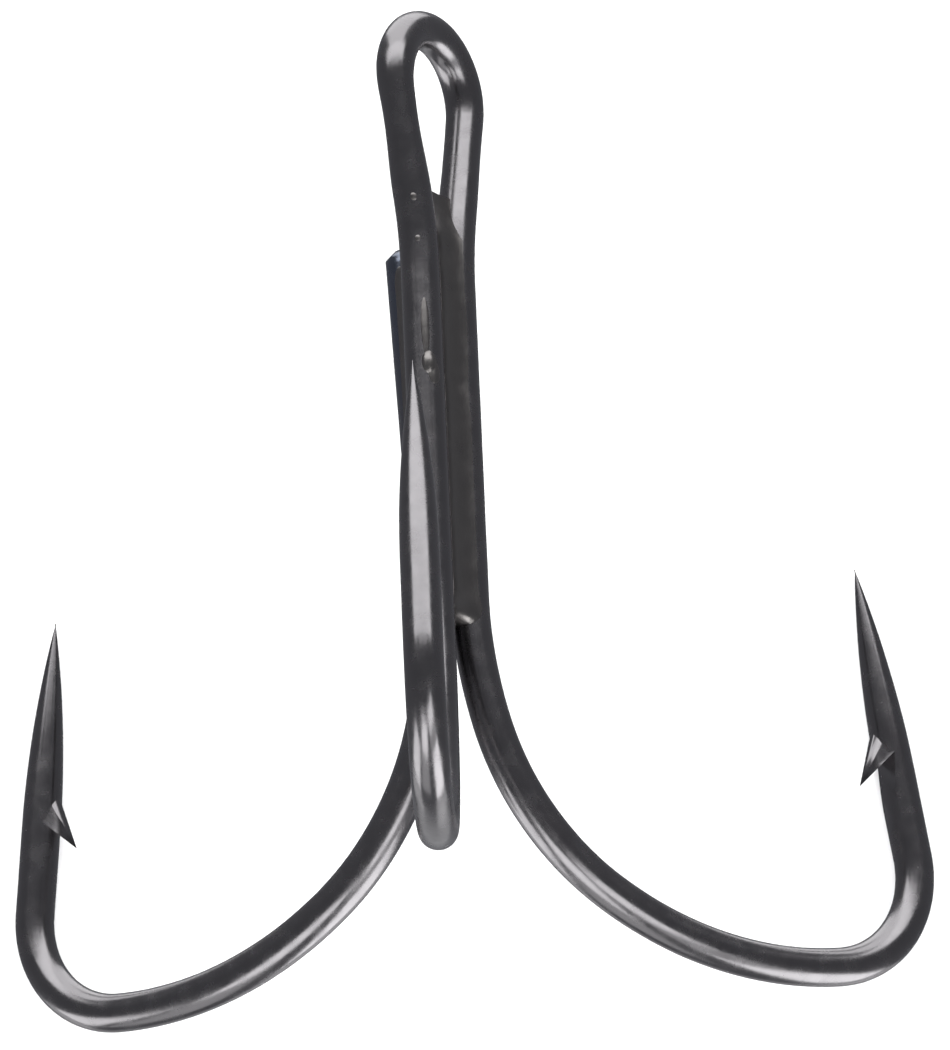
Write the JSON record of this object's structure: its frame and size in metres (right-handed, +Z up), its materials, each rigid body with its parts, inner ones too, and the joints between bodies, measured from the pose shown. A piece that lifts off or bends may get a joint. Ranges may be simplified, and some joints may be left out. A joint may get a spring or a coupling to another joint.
{
  "type": "treble fishing hook",
  "caption": "Treble fishing hook: barbed needle-point wire hooks brazed back to back, with a closed line eye, for lures and bait rigs.",
  "frame": {"origin": "centre of the round top of the line eye", "axes": "+Y points out of the line eye, away from the bends, along the shank seen from above; +Z is up, square to the surface that the hook lies on; the third hook stands up along +Z"},
  "size_m": [0.0339, 0.0371, 0.0306],
  "materials": {
    "plated_wire": "steel wire with a glossy black-nickel plating",
    "plated_braze": "braze under the same black-nickel plating, slightly duller and uneven"
  },
  "bodies": {
    "root": {"double_hook": "plated_wire", "single_hook": "plated_wire", "braze_web": "plated_braze", "braze_seam_upper": "plated_braze", "braze_seam_lower": "plated_braze"}
  },
  "joints": []
}
